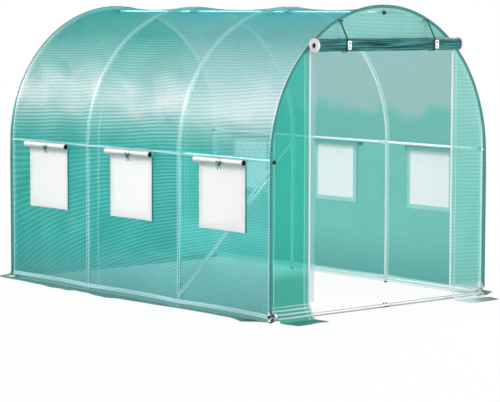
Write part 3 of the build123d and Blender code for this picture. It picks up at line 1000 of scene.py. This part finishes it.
hem_tape = plain_finish(
    "hem_tape", (0.96, 0.955, 0.955), (0.90, 0.90, 0.90), 0.7, 60.0, 0.0016, 0.2, glow=0.25)


def wall_place(side, y, z, lift):
    s = np.where(side < 0, z, section_run - z)
    return cover_place(s, y, cover_lift(s, y) + lift)


def net_spot(side, middle, across, z, lift):
    stand_off = stand_offs[side] * max(0.0, min(1.0, -across / net_half)) ** 3
    return wall_place(side, np.array(middle + across), np.array(z), lift + stand_off)


def sides_of(half, low, high):
    corners = [(-half, low), (half, low), (half, high), (-half, high)]
    return [
        [(a[0] + (b[0] - a[0]) * share, a[1] + (b[1] - a[1]) * share) for share in np.linspace(0, 1, 13)]
        for a, b in zip(corners, corners[1:] + corners[:1])
    ]


def hem_ring(side, middle, half, low, high, width, lift, thick):
    outer, inner = (
        [spot for line in lines for spot in line[:-1]]
        for lines in (sides_of(half, low, high), sides_of(half - width, low + width, high - width))
    )
    rings = [[
        net_spot(side, middle, out[0] * (1 - inward) + ins[0] * inward,
                 out[1] * (1 - inward) + ins[1] * inward, lift + thick * rise)
        for inward, rise in ((0, 0), (0, 0.6), (0.25, 1), (0.75, 1), (1, 0.6), (1, 0))
    ] for out, ins in zip(outer, inner)]
    return np.array(rings + rings[:1])


white_thread = plain_finish("white_thread", (0.80, 0.82, 0.82), (0.70, 0.73, 0.73), 0.6, 200.0)
for side_name, side in (("left", -1), ("right", 1)):
    patches, hems, edge_shadow_strips, seams = [], [], [], []
    for number, middle in enumerate(window_middles):
        z, y = np.meshgrid(np.linspace(net_sill, net_head, 30),
                           np.linspace(middle - net_half, middle + net_half, 30), indexing="ij")
        puff = unit(1 - ((y - middle) / window_half) ** 2) * unit(1 - ((z - puff_z) / window_half) ** 2)
        lift = 0.0012 + 0.003 * puff * (0.6 + 0.4 * slack(y, z, 70 + number, 5, 0.1, 0.3))
        lift = lift + stand_offs[side] * unit((middle - y) / net_half) ** 3
        places, cloth = wall_place(side, y, z, lift), stacked(y, z)
        if side > 0:
            places, cloth = places[:, ::-1], cloth[:, ::-1]
        patches.append(film_piece(f"{side_name}_net_{number}", places, cloth, net_cloth))
        rings = hem_ring(side, middle, net_half + 0.002, net_sill - 0.002, net_head + 0.002,
                         0.014, 0.0016, 0.0010)
        hems.append(swept(f"{side_name}_hem_{number}", rings, hem_tape, closed_ends=False))
        seams += [
            ([net_spot(side, middle, across, z, 0.0029) for across, z in line], (side, 0, 0))
            for line in sides_of(net_half - 0.004, net_sill + 0.004, net_head - 0.004)
        ]
        # Painted shadow: a dark strip, in the binding tape's finish, closes the gap under the net's lifted
        # front edge.
        front_edge = middle - net_half - 0.003
        rings = np.array([[
            wall_place(side, np.array(front_edge + off), np.array(z), rise)
            for off, rise in ((0.0, 0.0008), (0.0, 0.0015 + stand_offs[side]),
                              (-0.0022, 0.0010 + stand_offs[side]), (-0.0022, 0.0008))
        ] for z in np.linspace(net_sill, net_head, 16)])
        edge_shadow_strips.append(swept(f"{side_name}_return_{number}", rings, binding_tape))
    nets = finish_piece(joined(f"{side_name}_nets", patches))
    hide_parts(f"{side_name}_window_nets")
    hem = finish_piece(joined(f"{side_name}_net_hems", hems), smooth=False)
    edging = finish_piece(joined(f"{side_name}_net_edge_shadows", edge_shadow_strips), smooth=False)
    stitches = stitched(f"{side_name}_net_stitches", seams, white_thread)

# Rolled window flaps
# Each window has a film flap, rolled up above its net and tied in the middle with a green bow.
# Its outer turn shows the white lining, painted grey underneath as painted shade, a white tape is
# wound up in each end, and its core is open and dark.
flap_r, flap_core, flap_turns, flap_half = 0.0235, 0.0160, 3.4, 0.258
flap_z = 1.045
# The lining is painted grey on faces that point down, painted shade.
flap_lining = plain_finish(
    "flap_lining", (0.93, 0.94, 0.94), (0.86, 0.89, 0.88), 0.45, 14.0, glow=0.2,
    under=(0.50, 0.60, 0.59))
flap_film = plain_finish("flap_film", (0.09, 0.17, 0.16), (0.05, 0.10, 0.10), 0.3, 14.0)


def wound(turns, outer, core, start, steps=26):
    share = np.linspace(0, 1, int(turns * steps))
    return start - share * turns * 2 * pi, core + (outer - core) * share


def rolled_sheet(half, angles, radii, seed, loose, lengths=26):
    run = np.linspace(-half, half, lengths)
    turn, along = np.meshgrid(np.arange(len(angles)), run, indexing="ij")
    wobble = loose * slack(along, turn * 0.013, seed, 7, 0.12, 0.5)
    edge_wander = 0.0035 * slack(turn * 0.05, 0, seed + 3, 5, 0.3, 1.2) * (np.abs(along) / half) ** 8
    r = radii[:, None] + wobble
    along, out, up = along + edge_wander, np.cos(angles)[:, None] * r, np.sin(angles)[:, None] * r
    return along, out, up, np.concatenate([[0], np.cumsum(np.hypot(np.diff(out[:, 0]), np.diff(up[:, 0])))])


def edge_coil(name, middle, along, out, coil, wide, thick, finish):
    middle, along, out = np.array(middle), np.array(along), np.array(out)
    rings = [[
        middle - inset * along + (r + rise) * (cos(angle) * out + sin(angle) * np.array((0, 0, 1)))
        for inset, rise in ((0.0, -thick), (0.0, thick), (wide, thick), (wide, -thick))
    ] for angle, r in zip(*coil)]
    return swept(name, np.array(rings), finish)


def heading(line):
    way = np.gradient(line, axis=0)
    return way / np.linalg.norm(way, axis=1)[:, None]


def corded(name, path, r, finish):
    path = np.asarray(path, float)
    way = heading(path)
    across = np.cross(way[0], (0.31, 0.52, 0.79))
    rings = []
    for place, ahead in zip(path, way):
        across = across - ahead * (across @ ahead)
        across /= np.linalg.norm(across)
        rings.append(ring_round(place, across, np.cross(ahead, across), r, 8))
    return swept(name, np.array(rings), finish)


def bow(name, side, x, y, z, seed):
    dice = np.random.default_rng(seed)
    made = []
    turns = np.linspace(0, 2 * pi, 25)
    made.append(corded(f"{name}_band", [
        (side * (x + cos(t) * (flap_r + 0.0012)), y, z + sin(t) * (flap_r + 0.0012)) for t in turns
    ], 0.0016, flap_lining))
    front, level = x + flap_r + 0.005, z - 0.016
    for way in (-1, 1):
        wide, tall = dice.uniform(0.021, 0.027), dice.uniform(0.010, 0.014)
        made.append(corded(f"{name}_loop_{way}", [
            (side * (front + 0.004 * sin(t / 2)), y + way * wide * sin(t / 2),
             level + tall * sin(t) + 0.006 * sin(t / 2)) for t in turns
        ], 0.0030, bow_cord))
        drop, spread = dice.uniform(0.030, 0.042), dice.uniform(0.014, 0.024)
        made.append(corded(f"{name}_tail_{way}", [
            (side * (front + 0.002 - 0.006 * t), y + way * spread * t + 0.004 * sin(5 * t + seed),
             level - drop * t) for t in np.linspace(0, 1, 12)
        ], 0.0028, bow_cord))
    made.append(corded(f"{name}_knot", [
        (side * (front + 0.002), y + off, level) for off in (-0.005, 0.0, 0.005)], 0.0055, bow_cord))
    return made


bow_cord = plain_finish("bow_cord", (0.05, 0.25, 0.19), (0.015, 0.13, 0.10), 0.8, 60.0, 0.0014, 0.1)
webbing = plain_finish("webbing", (0.010, 0.12, 0.11), (0.004, 0.06, 0.055), 0.7, 40.0, 0.0018, 0.15)
for side_name, side in (("left", -1), ("right", 1)):
    rolls, bows, coils = [], [], []
    low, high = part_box(f"{side_name}_window_flaps")
    roll_x = max(abs(low.x), abs(high.x)) - 0.024
    for number, middle in enumerate(window_middles):
        angles, radii = wound(flap_turns, flap_r, flap_core, 1.2)
        along, out, up, wound_run = rolled_sheet(flap_half - 0.008, angles, radii, 80 + number, 0.0004)
        places = stacked(side * (roll_x + out), middle + along, flap_z + up)
        flap = film_piece(f"{side_name}_flap_{number}", places, stacked(along, wound_run[:, None]), flap_film)
        flap.data.materials.append(flap_lining)
        outer_turn = len(angles) - 22
        columns = along.shape[1] - 1
        for polygon in flap.data.polygons:
            row = polygon.index // columns
            if row >= outer_turn and cos(angles[row]) > -0.35:
                polygon.material_index = 1
        rolls.append(flap)
        for end in (-1, 1):
            coils.append(edge_coil(
                f"{side_name}_flap_edge_{number}_{end}", (side * roll_x, middle + end * flap_half, flap_z),
                (0, end, 0), (side, 0, 0), wound(1.8, flap_r + 0.0006, flap_r - 0.0040, 1.2), 0.014, 0.0010,
                flap_lining,
            ))
        bows += bow(f"{side_name}_bow_{number}", side, roll_x, middle - 0.03, flap_z, 100 + number)
    flaps = finish_piece(joined(f"{side_name}_flaps", rolls))
    flap_ties = finish_piece(joined(f"{side_name}_flap_bows", bows))
    flap_edges = finish_piece(joined(f"{side_name}_flap_edges", coils), smooth=False)
    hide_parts(f"{side_name}_window_flaps")

# Rolled door
# The door film is rolled up on itself above the doorway. Its two side edges carry the white zip
# tape, which winds up into a pale disc at each end, and the dark turns lie over one another.
roll_y, roll_z, roll_r, roll_half, roll_turns = -1.5655, 1.825, 0.0455, 0.69, 8.5
door_film = plain_finish(
    "door_film", (0.035, 0.24, 0.24), (0.0, 0.030, 0.037), 0.26, 95.0, stretch=0.035, gloss=0.20,
    span=0.11)
tape_white = plain_finish("tape_white", (0.84, 0.80, 0.83), (0.70, 0.67, 0.70), 0.6, 50.0, 0.0014)
angles, radii = wound(roll_turns, roll_r, 0.017, 2.0, steps=30)
along, out, up, wound_run = rolled_sheet(roll_half - 0.012, angles, radii, 91, 0.0012, lengths=60)
places = stacked(along, roll_y + out, roll_z + up)
door = film_piece("rolled_door", places, stacked(along, wound_run[:, None]), door_film)
finish_piece(door)
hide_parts("door_roll")
door_coils = finish_piece(joined("door_roll_edges", [edge_coil(
    f"coil_{side}", (side * roll_half, roll_y, roll_z), (side, 0, 0), (0, 1, 0),
    wound(roll_turns, roll_r + 0.0015, 0.0185, 2.0, steps=30), 0.016, 0.0014, tape_white,
) for side in (-1, 1)]), smooth=False)

# Door ties
# Two loops of dark green webbing hang from the arch and carry the roll. A white toggle on the
# front of each holds the loop shut.
tie_x, tie_top, tie_half, tie_thick = 0.415, 1.9961, 0.0065, 0.0018
tie_r = roll_r + 0.0028
top_y = -1.5195
lead = Vector((roll_y - top_y, roll_z - tie_top))
swing, lead_angle = np.arcsin(tie_r / lead.length), np.arctan2(lead.y, lead.x)
free_run = sqrt(lead.length**2 - tie_r**2)


def on_lead(angle, share):
    run = free_run * share
    return top_y + cos(angle) * run, tie_top + sin(angle) * run


def touch(angle):
    y, z = on_lead(angle, 1)
    return np.arctan2(z - roll_z, y - roll_y)


def strap(name, x, line, half, near, far, finish):
    return swept(name, np.array([[
        (x + across, y - way_z * off, z + way_y * off)
        for across, off in ((-half, near), (half, near), (half, far), (-half, far))
    ] for (y, z), (way_y, way_z) in zip(line, heading(line))]), finish)


front_lead, back_lead = lead_angle - swing, lead_angle + swing
sweep_angle = (touch(back_lead) - touch(front_lead)) % (2 * pi)
tie_line = [on_lead(front_lead, share) for share in np.linspace(0, 1, 8)[:-1]]
for angle in touch(front_lead) + sweep_angle * np.linspace(0, 1, 30):
    tie_line.append((roll_y + cos(angle) * tie_r, roll_z + sin(angle) * tie_r))
tie_line += [on_lead(back_lead, share) for share in np.linspace(1, 0.72, 4)[1:]]
tie_line = np.array(tie_line)
tie_straps = finish_piece(joined("door_tie_straps", [
    strap(f"tie_{side}", side * tie_x, tie_line, tie_half, -tie_thick / 2, tie_thick / 2, webbing)
    for side in (-1, 1)
]), smooth=False)
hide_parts("door_ties")

toggle_plastic = plain_finish(
    "toggle_plastic", (0.88, 0.89, 0.89), (0.78, 0.79, 0.79), 0.35, 90.0, gloss=0.4)


def rounded(wide, tall, middle_z, r, steps=7):
    corners = [(wide / 2 - r, tall / 2 - r), (r - wide / 2, tall / 2 - r),
               (r - wide / 2, r - tall / 2), (wide / 2 - r, r - tall / 2)]
    return [
        (x + r * cos(turn), middle_z + z + r * sin(turn))
        for number, (x, z) in enumerate(corners)
        for turn in np.linspace(number * pi / 2, (number + 1) * pi / 2, steps)
    ]


toggles = []
for side in (-1, 1):
    outline = bpy.data.curves.new(f"toggle_{side}", "CURVE")
    outline.dimensions, outline.fill_mode = "2D", "BOTH"
    outline.extrude, outline.bevel_depth, outline.bevel_resolution = 0.0025, 0.0012, 1
    for loop in (rounded(0.030, 0.058, 0, 0.007), rounded(0.018, 0.010, 0.013, 0.0030),
                 rounded(0.013, 0.013, -0.014, 0.0064)):
        spline = outline.splines.new("POLY")
        spline.points.add(len(loop) - 1)
        for point, (x, z) in zip(spline.points, loop):
            point.co = (x, z, 0, 1)
        spline.use_cyclic_u = True
    cut = linked(f"toggle_{side}_outline", outline)
    plate = bpy.data.meshes.new_from_object(cut.evaluated_get(bpy.context.evaluated_depsgraph_get()))
    bpy.data.objects.remove(cut)
    plate.transform(Matrix.Translation((side * tie_x, roll_y - tie_r - 0.0055, roll_z))
                    @ Matrix.Rotation(pi / 2, 4, "X"))
    plate.materials.clear()
    plate.materials.append(toggle_plastic)
    toggles.append(linked(f"toggle_{side}", plate))
finish_piece(joined("door_tie_toggles", toggles), smooth=False)

# Door edge tapes
# A pale zip tape is sewn down each upright edge of the doorway. At the foot it follows the film
# out over the ground bar.
tape_half, tape_thick, tape_x, tape_y = 0.0075, 0.0016, door_half + 0.002, panel_y + 0.0022
tape_line = [(-tape_y, z) for z in np.linspace(door_top, flare_height, 40)]
for z in np.linspace(flare_height, 0.006, 9)[1:]:
    tape_line.append((-(tape_y + (1 - z / flare_height) ** 1.2 * flare_reach), z))
tape_line = np.array(tape_line)
tape_way = heading(tape_line)
door_tapes = finish_piece(joined("door_zip_tapes", [
    strap(f"tape_{side}", side * tape_x, tape_line, tape_half, 0.0, -tape_thick, tape_white)
    for side in (-1, 1)
]), smooth=False)
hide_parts("door_tapes")
tape_face = tape_line + stacked(tape_way[:, 1], -tape_way[:, 0]) * tape_thick
seams = [
    ([(side * tape_x + across, y, z) for y, z in tape_face],
     [(0, way_z, -way_y) for way_y, way_z in tape_way])
    for side in (-1, 1) for across in (-0.005, 0.005)
]
stitched("door_tape_stitches", seams, white_thread)

# Door facing
# Behind the left tape hangs a narrow clear strip of film, sewn in with it from the head of the
# doorway almost to the ground. It is limp, so its free edge wanders.
facing_wide, facing_foot, facing_head = 0.048, 0.11, 1.79
facing_film = film_finish(
    "facing_film", (0.50, 0.70, 0.68), (0.42, 0.62, 0.60), 0.40, 0.02, (0.88, 0.95, 0.94))
out, z = np.meshgrid(np.linspace(0, 1, 7), np.linspace(facing_foot, facing_head, 70), indexing="xy")
x = -door_half + 0.004 + facing_wide * out * (1 + 0.08 * slack(z, 0, 12, 5, 0.2, 0.9))
y = -1.5105 + 0.003 * out * slack(z, out * 0.05, 14, 6, 0.15, 0.6)
door_facing = film_piece("door_facing", stacked(x, y, z), stacked(x, z), facing_film)
finish_piece(door_facing)

scene.view_settings.view_transform = "Standard"
